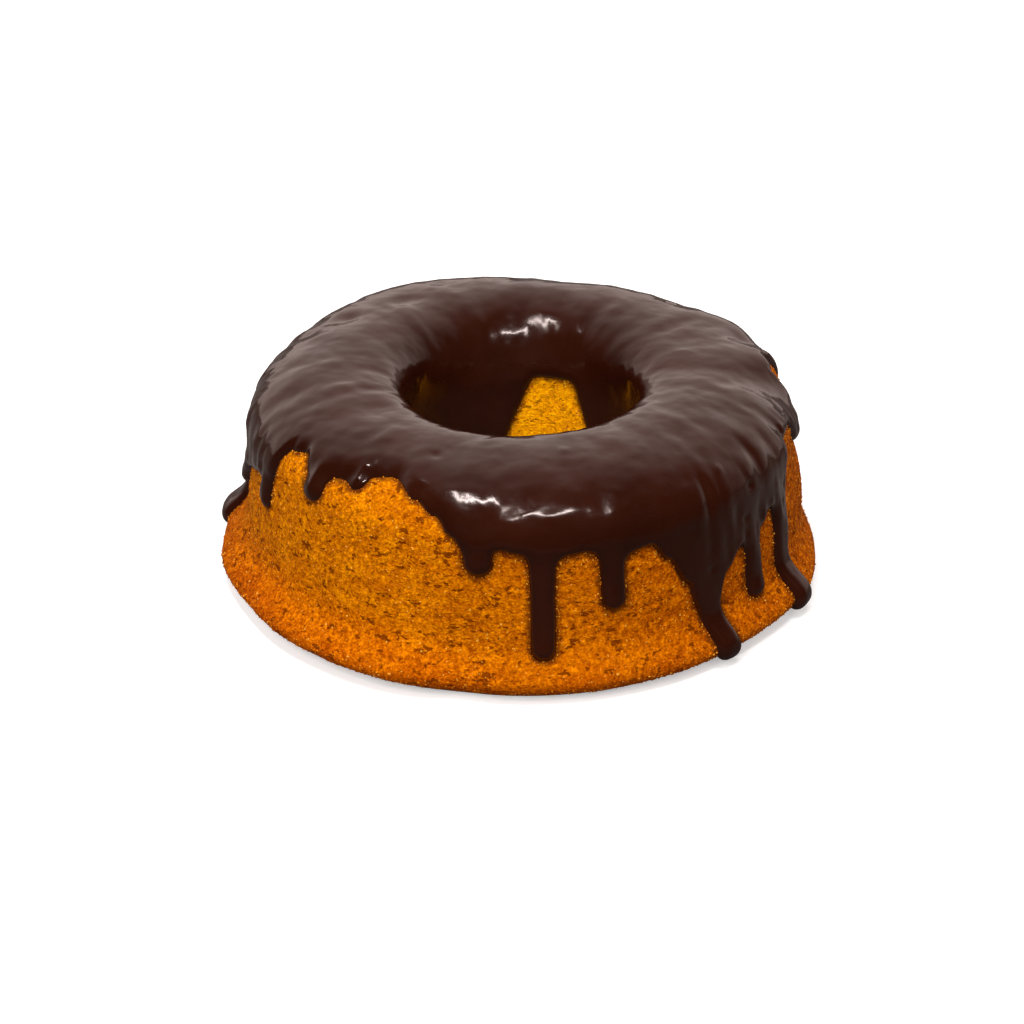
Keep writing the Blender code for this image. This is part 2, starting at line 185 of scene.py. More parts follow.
# The baked carrot ring. An oil sponge turned out of a ring tin onto its wide side: a tapered wall,
# a rounded top, and a puffy foot where the batter rose over the tin's rim. Its section is drawn
# once and spun round the hole, and the skin is then crumbled where no glaze covers it.
base_r = 0.1036
wall_taper = 0.113
shoulder_z = 0.054
crest_r, crest_z = 0.064, 0.0735
outer_round, inner_round = 2.1, 3.2
lip_z = 0.057
hole_top_r, hole_base_r = 0.0440, 0.0372
foot_out, foot_z, foot_half_height = 0.0066, 0.0085, 0.0068
undercut, undercut_height = 0.0042, 0.0070
foot_lobes = (    # azimuth, half width in degrees, extra reach
    (-78.0, 10.0, 0.0022), (-50.0, 24.0, 0.0026), (-24.0, 12.0, 0.0014), (-11.0, 5.0, -0.0022),
    (68.0, 12.0, 0.0020), (103.0, 18.0, -0.0038), (-112.0, 14.0, 0.0014), (150.0, 24.0, 0.0012),
)
crest_waves = ((1, -150.0, 0.0006), (2, 35.0, 0.0004), (3, 80.0, 0.0004))
wall_waves = ((2, 70.0, 0.0005), (3, -20.0, 0.0006), (5, 130.0, 0.0003))
wall_swell, swell_z, swell_half_height = ((98.0, 26.0, 0.0026),), 0.030, 0.0145
fuller = (    # azimuth, half width, change of outer_round
    (122.0, 9.0, 1.1), (104.0, 6.0, 0.9), (90.0, 8.0, -0.5),
    (-150.0, 18.0, 0.9), (170.0, 13.0, -0.3), (-115.0, 14.0, -0.2),
)
far_lip = ((180.0, 58.0, 1.0),)    # the far side of the hole has a rounder lip: azimuth, half width, share
far_lip_flatter, far_lip_down, far_lip_in = -1.25, 0.0100, 0.0030
far_crest_out, far_crest_down = 0.0045, 0.0014
at_wall, at_shoulder, at_crest, at_lip, at_hole_foot, at_end = 0.0, 1.0, 2.0, 3.0, 4.0, 5.0    # stations
section_samples, outside_samples, small_step = 801, 401, 1e-3


def waves(azimuth, terms):
    """Sum of (count, phase in degrees, height) cosines round the ring."""
    return sum(h * np.cos(n * azimuth - np.radians(phase)) for n, phase, h in terms)


def apart(azimuth, other_deg):
    """Signed angle from another azimuth, the short way round."""
    return (azimuth - np.radians(other_deg) + np.pi) % (2 * np.pi) - np.pi


def lobes(azimuth, terms):
    """Sum of (azimuth, half width in degrees, height) bumps round the ring."""
    return sum(h * np.exp(-((apart(azimuth, middle) / np.radians(half)) ** 2))
               for middle, half, h in terms)


def wall_radius(azimuth, z):
    """Outside of the ring below the shoulder: a tapered wall with the rolled foot."""
    roll = (foot_out + lobes(azimuth, foot_lobes)) * np.exp(-(((z - foot_z) / foot_half_height) ** 2))
    under = undercut * np.clip(1 - z / undercut_height, 0, 1) ** 2
    swell = lobes(azimuth, wall_swell) * np.exp(-(((z - swell_z) / swell_half_height) ** 2))
    return base_r - wall_taper * z + roll - under + swell + waves(azimuth, wall_waves)


def quarter_round(share, power):
    """Quarter of a superellipse, from (1, 0) at share 0 to (0, 1) at share 1."""
    angle = np.clip(share, 0, 1) * np.pi / 2
    across, up = np.abs(np.cos(angle)), np.abs(np.sin(angle))
    reach = (across ** power + up ** power) ** (-1 / power)
    return across * reach, up * reach


def section(azimuth, station):
    """Radius and height of the skin: up the wall, over the top, down the hole, back underneath."""
    lean = waves(azimuth, wall_waves)
    far = lobes(azimuth, far_lip)
    top_r = crest_r + far_crest_out * far
    top_z = crest_z - far_crest_down * far + waves(azimuth, crest_waves)
    edge_z = lip_z - far_lip_down * far
    edge_r = hole_top_r - far_lip_in * far + 0.5 * lean
    foot_r = hole_base_r + 0.5 * lean
    wall_z = shoulder_z * np.clip(station, 0, 1)
    out_r, out_z = quarter_round(station - at_shoulder, outer_round + lobes(azimuth, fuller))
    in_z, in_r = quarter_round(station - at_crest, inner_round + far_lip_flatter * far)
    hole_share = np.clip(at_hole_foot - station, 0, 1)
    shoulder_r = wall_radius(azimuth, shoulder_z)
    under_share = np.clip(station - at_hole_foot, 0, 1)
    stretches = [station <= at_shoulder, station <= at_crest, station <= at_lip,
                 station <= at_hole_foot, station > at_hole_foot]
    radius = np.select(stretches, [
        wall_radius(azimuth, wall_z),
        top_r + (shoulder_r - top_r) * out_r,
        top_r - (top_r - edge_r) * in_r,
        foot_r + (edge_r - foot_r) * hole_share,
        foot_r + (wall_radius(azimuth, 0.0 * azimuth) - foot_r) * under_share,
    ])
    height = np.select(stretches, [
        wall_z, shoulder_z + (top_z - shoulder_z) * out_z, edge_z + (top_z - edge_z) * in_z,
        edge_z * hole_share, 0.0 * station,
    ])
    return radius, height


def skin(azimuth, station):
    """Points of the ring's skin."""
    radius, height = section(azimuth, station)
    across, away = radius * np.sin(azimuth), radius * np.cos(azimuth)
    return np.stack([axis_x + across, axis_y - away, height], axis=-1)


def skin_normals(azimuth, station):
    """Outward unit normals of the skin, from small steps along it."""
    round_it = skin(azimuth + small_step, station) - skin(azimuth - small_step, station)
    along_it = skin(azimuth, station + small_step) - skin(azimuth, station - small_step)
    normal = np.cross(round_it, along_it)
    return normal / np.linalg.norm(normal, axis=-1, keepdims=True)


def from_crest(station):
    """Length along the mean section from the crest: outward positive, into the hole negative."""
    fine = np.linspace(at_wall, at_hole_foot, section_samples)
    radius, height = section(np.zeros_like(fine), fine)
    run = np.concatenate([[0], np.cumsum(np.hypot(np.diff(radius), np.diff(height)))])
    return np.interp(at_crest, fine, run) - np.interp(station, fine, run)


def outward_of_height(z):
    """Distance from the crest at which the outside of the ring is at height z."""
    stations = np.linspace(at_wall, at_crest, outside_samples)
    return np.interp(z, section(np.zeros_like(stations), stations)[1], from_crest(stations))


# Where the glaze lies on the ring. The hem is the height of its edge round the wall, and the runs
# are what left the hem and set on the way down. It is worked out here because the sponge is
# crumbled only outside it, and stained where it soaked in, a band that also paints the contact shade.
hem = (    # azimuth, height
    (-165.0, 0.058), (-138.0, 0.052), (-118.0, 0.057), (-104.0, 0.043), (-97.0, 0.038),
    (-90.0, 0.0335), (-84.0, 0.0415), (-78.0, 0.0455), (-72.0, 0.0485), (-65.5, 0.0545),
    (-61.0, 0.0655), (-57.0, 0.0668), (-53.0, 0.0645), (-44.0, 0.0662), (-36.0, 0.0692),
    (-31.0, 0.0700), (-23.5, 0.0668), (-19.0, 0.0642), (-14.3, 0.0612), (-12.0, 0.0565),
    (-4.0, 0.0552), (-1.0, 0.0540), (8.5, 0.0528), (13.0, 0.0538), (22.5, 0.0515),
    (26.5, 0.0522), (30.3, 0.0452), (34.6, 0.0342), (38.0, 0.0230), (42.0, 0.0240),
    (45.0, 0.0320), (49.7, 0.0378), (58.0, 0.0400), (62.2, 0.0432), (69.0, 0.0440),
    (72.5, 0.0530), (76.0, 0.0600), (82.0, 0.0600), (89.0, 0.0520), (94.5, 0.0560),
    (99.0, 0.0665), (103.5, 0.0678), (108.0, 0.0645), (114.0, 0.0600),
    (130.0, 0.0590), (148.0, 0.0600),
)
front_runs = (    # azimuth at root and tip, height of the tip, width at root and neck
    (-101.0, -99.0, 0.0030, 0.022, 0.0130), (-90.5, -90.5, 0.0290, 0.010, 0.0080),
    (-67.2, -67.8, 0.0388, 0.012, 0.0088), (-49.4, -49.2, 0.0556, 0.015, 0.0104),
    (-39.4, -38.9, 0.0636, 0.011, 0.0074), (-9.6, -8.6, 0.0450, 0.020, 0.0102),
    (4.2, 4.3, 0.0152, 0.011, 0.0084), (18.2, 18.4, 0.0310, 0.012, 0.0086),
    (39.6, 41.6, 0.0024, 0.012, 0.0094), (54.6, 54.2, 0.0155, 0.010, 0.0086),
    (67.8, 65.2, 0.0024, 0.013, 0.0096), (90.5, 90.5, 0.0465, 0.012, 0.0090),
)
run_start, run_narrows_over, wall_mean_r = 0.004, 0.55, 0.0996
fillet = 0.0050
back_from, back_to, back_step = 112.0, 250.0, 13.0
back_tip_heights, back_widths, back_root_spread = (0.014, 0.052), (0.0078, 0.0108), 1.4
back_wander, back_slant, back_seed = 3.5, 1.0, 11
cover_underneath, no_drop_near = -0.01, 1.0
hole_edge_z = 0.0045
hole_edge_waves = ((3, 40.0, 0.0012), (7, 10.0, 0.0008))
patch_azimuth, patch_top_z, patch_half_top, patch_spread, patch_round = 163.0, 0.0520, 0.0078, 0.42, 0.0030

draw = np.random.default_rng(back_seed)
back_runs = []
for place in np.arange(back_from, back_to, back_step):
    root = place + draw.uniform(-back_wander, back_wander)
    neck = draw.uniform(*back_widths)
    tip = root + draw.uniform(-back_slant, back_slant)
    back_runs.append((root, tip, draw.uniform(*back_tip_heights), neck * back_root_spread, neck))
runs = front_runs + tuple(back_runs)


def hem_distance(azimuth):
    """Distance from the crest to the hem, smoothly between the hem's heights."""
    anchors = sorted((a % 360.0, outward_of_height(z)) for a, z in hem)
    angles = np.array([anchors[-1][0] - 360.0] + [a for a, _ in anchors] + [anchors[0][0] + 360.0])
    values = np.array([anchors[-1][1]] + [v for _, v in anchors] + [anchors[0][1]])
    degrees = np.degrees(azimuth) % 360.0
    i = np.clip(np.searchsorted(angles, degrees) - 1, 0, len(angles) - 2)
    share = (degrees - angles[i]) / (angles[i + 1] - angles[i])
    return values[i] + (values[i + 1] - values[i]) * share * share * (3 - 2 * share)


def smooth_max(a, b, k):
    """The larger of two, with the corner where they cross filled by a fillet of size k."""
    near = np.clip(0.5 + 0.5 * (a - b) / k, 0, 1)
    return b + (a - b) * near + k * near * (1 - near)


def run_cover(azimuth, outward, run):
    """How far inside a run a point is, and how far it is from the drop at the run's tip."""
    root_az, tip_az, tip_z, root_width, neck_width = run
    tip_at = outward_of_height(tip_z + neck_width / 2)
    root_at = float(hem_distance(np.radians(root_az))) - run_start
    along = np.clip((outward - root_at) / (tip_at - root_at), 0, 1)
    aside = apart(azimuth, root_az + (tip_az - root_az) * along) * wall_mean_r
    past = np.maximum(outward - tip_at, 0) + np.minimum(outward - root_at, 0)
    narrowing = np.sin(np.clip(along / run_narrows_over, 0, 1) * np.pi / 2)
    half = (root_width + (neck_width - root_width) * narrowing) / 2
    return half - np.hypot(aside, past), np.hypot(aside, outward - tip_at)


def hole_cover(azimuth, station):
    """How far inside the glaze a point in the hole is."""
    height = section(azimuth, station)[1]
    above_edge = height - hole_edge_z - waves(azimuth, hole_edge_waves)
    below = patch_top_z - height
    half = patch_half_top + patch_spread * np.maximum(below, 0)
    aside = np.abs(apart(azimuth, patch_azimuth)) * (hole_base_r + hole_top_r) / 2
    return -smooth_max(-above_edge, -smooth_max(aside - half, -below, patch_round), patch_round)


def glaze_cover(azimuth, station):
    """How far inside the glaze's edge a point of the skin is, and how far it is from the nearest drop."""
    outward = from_crest(station)
    cover = hem_distance(azimuth) - outward
    to_drop = np.full_like(cover, no_drop_near)
    for run in runs:
        inside, to_tip = run_cover(azimuth, outward, run)
        cover = smooth_max(cover, inside, fillet)
        to_drop = np.minimum(to_drop, to_tip)
    cover = np.where(station > at_crest, hole_cover(azimuth, station), cover)
    return np.where(station > at_hole_foot, cover_underneath, cover), to_drop


# The sponge's own mesh. The section is a wire loop spun round the hole, subdivided twice where it
# is bare, and roughened there by three displacements: the slow swell of the bake, the crumb
# itself, and the torn pores. The relief goes mostly inward, and at most about half a millimetre out.
sponge_columns = 236
wall_step, over_rows, hole_rows, under_rows = 0.0030, 27, 18, 9
bare_margin = 0.0025    # how far under the glaze the roughness fades out
base_fade = 0.0012
foot_smooth_z, foot_smooth_over, foot_least = 0.006, 0.012, 0.25    # the foot is the smoother part
swell_size, swell_depth, swell_middle = 0.020, 0.0009, 0.62
crumb_size, crumb_depth, crumb_middle = 0.0012, 0.00055, 0.75
pore_size, pore_depth, pore_middle = 0.0062, 0.0006, 1.0
pore_bottom, pore_rim = 0.10, 0.30
weight_steps = 20


def spun_ring(name, stations, columns):
    """The section as a wire loop, spun into a closed ring whose points keep their station."""
    bpy.ops.object.select_all(action="DESELECT")
    bpy.ops.mesh.primitive_circle_add(vertices=len(stations), radius=base_r, location=(0.0, 0.0, 0.0))
    ring = bpy.context.object
    ring.name = name
    radius, height = section(np.zeros_like(stations), stations)
    for vertex, r, z in zip(ring.data.vertices, radius, height):
        vertex.co = (axis_x, axis_y - r, z)
    ring.data.attributes.new("station", "FLOAT", "POINT").data.foreach_set("value", stations)
    bpy.ops.object.mode_set(mode="EDIT")
    bpy.ops.mesh.select_all(action="SELECT")
    bpy.ops.mesh.spin(steps=columns, angle=2 * math.pi, center=(axis_x, axis_y, 0.0), axis=(0.0, 0.0, 1.0))
    bpy.ops.mesh.select_all(action="SELECT")
    bpy.ops.mesh.remove_doubles(threshold=1e-6)
    bpy.ops.mesh.normals_make_consistent(inside=False)
    bpy.ops.object.mode_set(mode="OBJECT")
    return ring


def places(piece):
    """Azimuth and station of every vertex of a spun piece."""
    co = np.empty(len(piece.data.vertices) * 3)
    piece.data.vertices.foreach_get("co", co)
    co = co.reshape(-1, 3)
    station = np.empty(len(co))
    piece.data.attributes["station"].data.foreach_get("value", station)
    return np.arctan2(co[:, 0] - axis_x, axis_y - co[:, 1]), station


def put(piece, points):
    """Moves every vertex to its point."""
    piece.data.vertices.foreach_set("co", np.ascontiguousarray(points, dtype=np.float32).ravel())
    piece.data.update()


def face_span(piece, values):
    """Least and greatest vertex value of every face."""
    mesh = piece.data
    corner = np.empty(len(mesh.loops), dtype=np.int32)
    mesh.loops.foreach_get("vertex_index", corner)
    start = np.empty(len(mesh.polygons), dtype=np.int32)
    mesh.polygons.foreach_get("loop_start", start)
    return np.minimum.reduceat(values[corner], start), np.maximum.reduceat(values[corner], start)


def pick_faces(piece, wanted):
    """Goes into edit mode with just these faces selected."""
    mesh = piece.data
    bpy.context.view_layer.objects.active = piece
    bpy.context.tool_settings.mesh_select_mode = (False, False, True)
    mesh.vertices.foreach_set("select", np.zeros(len(mesh.vertices), dtype=bool))
    mesh.edges.foreach_set("select", np.zeros(len(mesh.edges), dtype=bool))
    mesh.polygons.foreach_set("select", wanted)
    bpy.ops.object.mode_set(mode="EDIT")


def subdivide(piece, wanted):
    """Halves the wanted faces each way."""
    pick_faces(piece, wanted)
    bpy.ops.mesh.subdivide(number_cuts=1)
    bpy.ops.object.mode_set(mode="OBJECT")


def paint(piece, name, weights):
    """A float attribute and a vertex group of the same name, with a value for each vertex."""
    piece.data.attributes.new(name + " value", "FLOAT", "POINT").data.foreach_set("value", weights)
    group = piece.vertex_groups.new(name=name)
    level = np.round(np.clip(weights, 0, 1) * weight_steps).astype(int)
    for step in range(1, weight_steps + 1):
        chosen = np.nonzero(level == step)[0]
        if len(chosen):
            group.add(chosen.tolist(), step / weight_steps, "REPLACE")


def displace(piece, texture, strength, middle, group):
    """One displacement along the normals, applied."""
    bpy.context.view_layer.objects.active = piece
    change = piece.modifiers.new(texture.name, "DISPLACE")
    change.texture = texture
    change.texture_coords = "LOCAL"
    change.strength = strength
    change.mid_level = middle
    change.vertex_group = group
    bpy.ops.object.modifier_apply(modifier=change.name)


def stand_on_table(piece):
    """Lifts any vertex that is below the table onto it."""
    co = np.empty(len(piece.data.vertices) * 3)
    piece.data.vertices.foreach_get("co", co)
    co = co.reshape(-1, 3)
    co[:, 2] = np.maximum(co[:, 2], 0)
    put(piece, co)


def cloud(name, size, depth=2):
    """A soft noise, of features this size."""
    made = bpy.data.textures.new(name, "CLOUDS")
    made.noise_scale = size
    made.noise_depth = depth
    return made


wall_rows = np.arange(0.0, shoulder_z, wall_step) / shoulder_z
sponge_stations = np.concatenate([
    wall_rows, np.linspace(at_shoulder, at_lip, over_rows)[:-1],
    np.linspace(at_lip, at_hole_foot, hole_rows)[:-1], np.linspace(at_hole_foot, at_end, under_rows)[:-1],
])
sponge = spun_ring("carrot_sponge_baked", sponge_stations, sponge_columns)
for _ in range(2):
    azimuth, station = places(sponge)
    cover, _unused = glaze_cover(azimuth, station)
    least = face_span(sponge, cover)[0]
    subdivide(sponge, (least < bare_margin) & (face_span(sponge, station)[1] < at_hole_foot))
azimuth, station = places(sponge)
put(sponge, skin(azimuth, station))
cover, _unused = glaze_cover(azimuth, station)
height = section(azimuth, station)[1]
bare = np.clip(1 - cover / bare_margin, 0, 1) * np.clip(height / base_fade, 0, 1) * (station < at_hole_foot)
wall_only = bare * (station < at_crest)
paint(sponge, "bare", bare)
paint(sponge, "bare wall", wall_only * np.clip((height - foot_smooth_z) / foot_smooth_over, foot_least, 1))
sponge.data.attributes.new("from glaze", "FLOAT", "POINT").data.foreach_set("value", -cover)

pores = bpy.data.textures.new("pores", "VORONOI")
pores.noise_scale = pore_size
pores.use_color_ramp = True
pores.color_ramp.elements[0].position = pore_bottom
pores.color_ramp.elements[0].color = (0.0, 0.0, 0.0, 1.0)
pores.color_ramp.elements[1].position = pore_rim
pores.color_ramp.elements[1].color = (1.0, 1.0, 1.0, 1.0)
displace(sponge, cloud("swell", swell_size), swell_depth, swell_middle, "bare")
displace(sponge, cloud("crumb", crumb_size, 1), crumb_depth, crumb_middle, "bare wall")
displace(sponge, pores, pore_depth, pore_middle, "bare wall")
stand_on_table(sponge)
sponge.data.shade_smooth()


def ramp(tree, value, stops):
    """A colour ramp with these (position, colour) stops."""
    made = add(tree, "ShaderNodeValToRGB", {"Fac": value})
    while len(made.color_ramp.elements) < len(stops):
        made.color_ramp.elements.new(0.5)
    for element, (position, colour) in zip(made.color_ramp.elements, stops):
        element.position = position
        element.color = (*colour, 1.0)
    return made.outputs["Color"]


def new_material(name):
    """A material, its tree, its Principled BSDF and its Object coordinates."""
    made = bpy.data.materials.new(name)
    made.use_nodes = True
    tree = made.node_tree
    return made, tree, tree.nodes["Principled BSDF"], add(tree, "ShaderNodeTexCoord").outputs["Object"]


def noise(tree, where, scale, detail=3.0, rough=0.55):
    """A noise texture's value, with this many features a metre."""
    made = add(tree, "ShaderNodeTexNoise", {
        "Vector": where, "Scale": scale, "Detail": detail, "Roughness": rough})
    return made.outputs["Fac"]


def squat(tree, where, how_much):
    """Coordinates stretched along Z, which makes a pattern on them lower than wide."""
    return add(tree, "ShaderNodeMapping", {"Vector": where, "Scale": (1.0, 1.0, how_much)}).outputs["Vector"]


def vector_math(tree, operation, *values):
    """A Vector Math node."""
    return add(tree, "ShaderNodeVectorMath", dict(enumerate(values)), operation=operation)


def from_axis(tree, where):
    """Distance from the upright line through the origin."""
    flat = vector_math(tree, "MULTIPLY", where, (1.0, 1.0, 0.0)).outputs["Vector"]
    return vector_math(tree, "LENGTH", flat).outputs["Value"]


# The crumb's finish, shared by the ring and by its loose grains: bright carrot orange grains in a deeper
# orange, pores darkened with painted shade, and a few smoother wet specks lightened as a painted glint.
# Each noise is its scale in features a metre, its detail and its roughness.
coarse_noise, middling_noise, fine_noise = (120.0, 2.0, 0.5), (480.0, 2.0, 0.5), (1050.0, 2.0, 0.6)
blotch_noise, torn_noise, pricked_noise = (55.0, 3.0, 0.6), (230.0, 2.5, 0.65), (560.0, 1.0, 0.5)
fine_squat, blotch_squat, torn_squat, pricked_squat = 1.3, 2.2, 1.7, 1.4
granule_scale, speck_scale = 460.0, 520.0
coarse_share, middling_share, fine_share, granule_share = 0.14, 0.26, 0.52, 0.08
granule_rim, granule_middle = 0.75, 0.15
bright_grains = (    # grain value, colour
    (0.38, (0.37, 0.082, 0.0002)), (0.50, (0.66, 0.188, 0.0003)), (0.62, (0.94, 0.335, 0.0014)),
)
deep_grains = (
    (0.38, (0.26, 0.036, 0.0002)), (0.50, (0.46, 0.079, 0.0003)), (0.62, (0.74, 0.163, 0.0014)),
)
blotch_span, blotch_strength, blotch_colour = (0.50, 0.75), 0.45, (0.46, 0.090, 0.0003)
torn_span, pricked_span, pricked_strength = (0.600, 0.640), (0.64, 0.71), 0.6
pore_shade_strength, pore_shade_colour, pore_sink = 0.90, (0.17, 0.028, 0.0004), 0.6
speck_draws, speck_size, speck_soft = (0.84, 1.0), 0.28, 0.06
speck_glint_strength, speck_glint_colour, speck_rise = 0.75, (0.95, 0.48, 0.06), 0.25
crumb_rough, speck_smoother = 0.85, 0.50

crumb = bpy.data.node_groups.new("carrot crumb", "ShaderNodeTree")
crumb.interface.new_socket("Position", in_out="INPUT", socket_type="NodeSocketVector")
crumb.interface.new_socket("Deep", in_out="INPUT", socket_type="NodeSocketFloat")
crumb.interface.new_socket("Color", in_out="OUTPUT", socket_type="NodeSocketColor")
crumb.interface.new_socket("Roughness", in_out="OUTPUT", socket_type="NodeSocketFloat")
crumb.interface.new_socket("Height", in_out="OUTPUT", socket_type="NodeSocketFloat")
given = crumb.nodes.new("NodeGroupInput")
where = given.outputs["Position"]
granule = add(crumb, "ShaderNodeTexVoronoi", {"Vector": where, "Scale": granule_scale, "Randomness": 1.0})
granule = between(crumb, granule.outputs["Distance"], granule_rim, granule_middle)
grain = times(crumb, noise(crumb, where, *coarse_noise), coarse_share)
for layer, share in (
    (noise(crumb, where, *middling_noise), middling_share),
    (noise(crumb, squat(crumb, where, fine_squat), *fine_noise), fine_share),
    (granule, granule_share),
):
    grain = math_node(crumb, "ADD", grain, times(crumb, layer, share))
bright, deep = ramp(crumb, grain, bright_grains), ramp(crumb, grain, deep_grains)
colour = blend(crumb, given.outputs["Deep"], bright, deep)
blotch = noise(crumb, squat(crumb, where, blotch_squat), *blotch_noise)
blotch = between(crumb, blotch, *blotch_span)
colour = blend(crumb, times(crumb, blotch, blotch_strength), colour, blotch_colour)
torn = noise(crumb, squat(crumb, where, torn_squat), *torn_noise)
pricked = noise(crumb, squat(crumb, where, pricked_squat), *pricked_noise)
pricked = times(crumb, between(crumb, pricked, *pricked_span), pricked_strength)
pore_mask = math_node(crumb, "MAXIMUM", between(crumb, torn, *torn_span), pricked)
# Painted shade: the pores are darkened, as well as sunk in the bump.
colour = blend(crumb, times(crumb, pore_mask, pore_shade_strength), colour, pore_shade_colour)
# Painted glint: the specks are lightened, as well as made smoother and raised.
speck = add(crumb, "ShaderNodeTexVoronoi", {"Vector": where, "Scale": speck_scale, "Randomness": 1.0})
speck_draw = add(crumb, "ShaderNodeSeparateColor", {"Color": speck.outputs["Color"]}).outputs["Green"]
speck_reach = times(crumb, between(crumb, speck_draw, *speck_draws), speck_size)
speck_depth = math_node(crumb, "SUBTRACT", speck_reach, speck.outputs["Distance"])
speck_mask = between(crumb, speck_depth, 0.0, speck_soft)
colour = blend(crumb, times(crumb, speck_mask, speck_glint_strength), colour, speck_glint_colour)
rough = math_node(crumb, "SUBTRACT", crumb_rough, times(crumb, speck_mask, speck_smoother))
rise = math_node(crumb, "ADD", grain, times(crumb, speck_mask, speck_rise))
rise = math_node(crumb, "SUBTRACT", rise, times(crumb, pore_mask, pore_sink))
add(crumb, "NodeGroupOutput", {"Color": colour, "Roughness": rough, "Height": rise})

# The ring's colour: deeper at the foot, deeper to the right as painted shade, lightened in the hole as
# painted light, and stained brown along the edge of the glaze, a band that is partly painted contact shade.
deep_wander_scale, deep_wander, deep_heights = 30.0, 0.022, (0.040, 0.016)
painted_shade_across, painted_shade_at_right = (-0.070, 0.070), 0.75
hole_radii, hole_painted_light = (0.058, 0.050), (1.65, 2.0, 1.0)
hole_painted_light_share, hole_painted_light_colour = 0.30, (1.0, 0.42, 0.003)
soak_and_shade_scale, soak_and_shade_wander, soak_and_shade_span = 380.0, 0.0036, (0.0006, -0.0012)
soak_and_shade_strength, soak_and_shade_colour = 0.85, (0.11, 0.024, 0.0030)
sponge_gloss, sponge_gloss_tint = 0.08, (1.0, 0.55, 0.10, 1.0)
grain_strength, grain_depth = 0.60, 0.0022

baked, tree, shader, where = new_material("carrot sponge baked")
place = add(tree, "ShaderNodeSeparateXYZ", {"Vector": where})
wander = times(tree, noise(tree, where, deep_wander_scale), deep_wander)
foot_deep_and_right_shade = between(tree, math_node(tree, "ADD", place.outputs["Z"], wander), *deep_heights)
# Painted shade: the sponge is made deeper toward the right, away from the stronger lamp on the left.
shade_to_right = times(tree, between(tree, place.outputs["X"], *painted_shade_across), painted_shade_at_right)
in_hole = between(tree, from_axis(tree, where), *hole_radii)
foot_deep_and_right_shade = math_node(tree, "MAXIMUM", foot_deep_and_right_shade, shade_to_right)
foot_deep_and_right_shade = times(tree, foot_deep_and_right_shade, math_node(tree, "SUBTRACT", 1.0, in_hole))
finish = add(tree, "ShaderNodeGroup", node_tree=crumb)
tree.links.new(where, finish.inputs["Position"])
tree.links.new(foot_deep_and_right_shade, finish.inputs["Deep"])
off_glaze = add(tree, "ShaderNodeAttribute", attribute_name="from glaze").outputs["Fac"]
# A soaked stain and painted contact shade: a brown band just outside the glaze's edge.
soak_and_shade_reach = times(tree, noise(tree, where, soak_and_shade_scale), soak_and_shade_wander)
soaked_and_shaded = between(tree, math_node(tree, "SUBTRACT", off_glaze, soak_and_shade_reach), *soak_and_shade_span)
# Painted light: the sponge in the hole is brightened and pulled toward a bright orange.
painted_hole_light = vector_math(tree, "MULTIPLY", finish.outputs["Color"], hole_painted_light).outputs["Vector"]
colour = blend(tree, in_hole, finish.outputs["Color"], painted_hole_light)
colour = blend(tree, times(tree, in_hole, hole_painted_light_share), colour, hole_painted_light_colour)
colour = blend(tree, times(tree, soaked_and_shaded, soak_and_shade_strength), colour, soak_and_shade_colour)
tree.links.new(colour, shader.inputs["Base Color"])
tree.links.new(finish.outputs["Roughness"], shader.inputs["Roughness"])
shader.inputs["Specular IOR Level"].default_value = sponge_gloss
shader.inputs["Specular Tint"].default_value = sponge_gloss_tint
bump = add(tree, "ShaderNodeBump", {
    "Strength": grain_strength, "Distance": grain_depth, "Height": finish.outputs["Height"]})
tree.links.new(bump.outputs["Normal"], shader.inputs["Normal"])
sponge.data.materials.append(baked)
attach(sponge, "root")
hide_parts("carrot_sponge")


# Loose crumbs and burst grains that stand on the bare sponge. One small grain is copied over it at
# random, half sunk, closest together just outside the glaze and low on the foot. The draws go by
# place, because Blender numbers the sponge's points in another order in each run.
grain_sizes, grain_squash = (0.00022, 0.00050), (1.0, 0.8, 0.7)
grains_anywhere, grains_at_hem, grains_at_foot = 120000.0, 560000.0, 260000.0    # for each square metre
hem_reach, foot_top = 0.0022, 0.014
clear_of_box, bare_enough = 0.0009, 0.9
grain_seed, full_turn, grain_shift = 3, 2 * math.pi, 0.00035
loose_deep = 0.35
pale_noise, pale_span, pale_strength, pale_colour = (700.0, 1.0), (0.50, 0.68), 0.8, (0.93, 0.44, 0.05)
loose_rough, loose_gloss, loose_gloss_tint = 0.45, 0.25, (1.0, 0.70, 0.30, 1.0)

co = np.empty(len(sponge.data.vertices) * 3)
sponge.data.vertices.foreach_get("co", co)
co = co.reshape(-1, 3)
bare_here = np.empty(len(co))
sponge.data.attributes["bare value"].data.foreach_get("value", bare_here)
off_hem = np.empty(len(co))
sponge.data.attributes["from glaze"].data.foreach_get("value", off_hem)
near_hem = np.exp(-((off_hem / hem_reach) ** 2))
near_foot = np.clip(1 - co[:, 2] / foot_top, 0, 1)
low, high = (np.array(corner) for corner in cad_box)
inside = ((co > low + clear_of_box) & (co < high - clear_of_box)).all(axis=1)
density = grains_anywhere + grains_at_hem * near_hem + grains_at_foot * near_foot
density = density * (bare_here > bare_enough) * (off_hem > 0) * inside
corner = np.empty(len(sponge.data.loops), dtype=np.int32)
sponge.data.loops.foreach_get("vertex_index", corner)
corner_count = np.empty(len(sponge.data.polygons), dtype=np.int32)
sponge.data.polygons.foreach_get("loop_total", corner_count)
face_area = np.empty(len(corner_count))
sponge.data.polygons.foreach_get("area", face_area)
point_area = np.bincount(corner, np.repeat(face_area / corner_count, corner_count), len(co))
by_place = np.lexsort(np.round(co, same_point_digits).T)
drawn = np.empty((len(co), 8))
drawn[by_place] = np.random.default_rng(grain_seed).random(drawn.shape)
normal = np.empty(len(co) * 3)
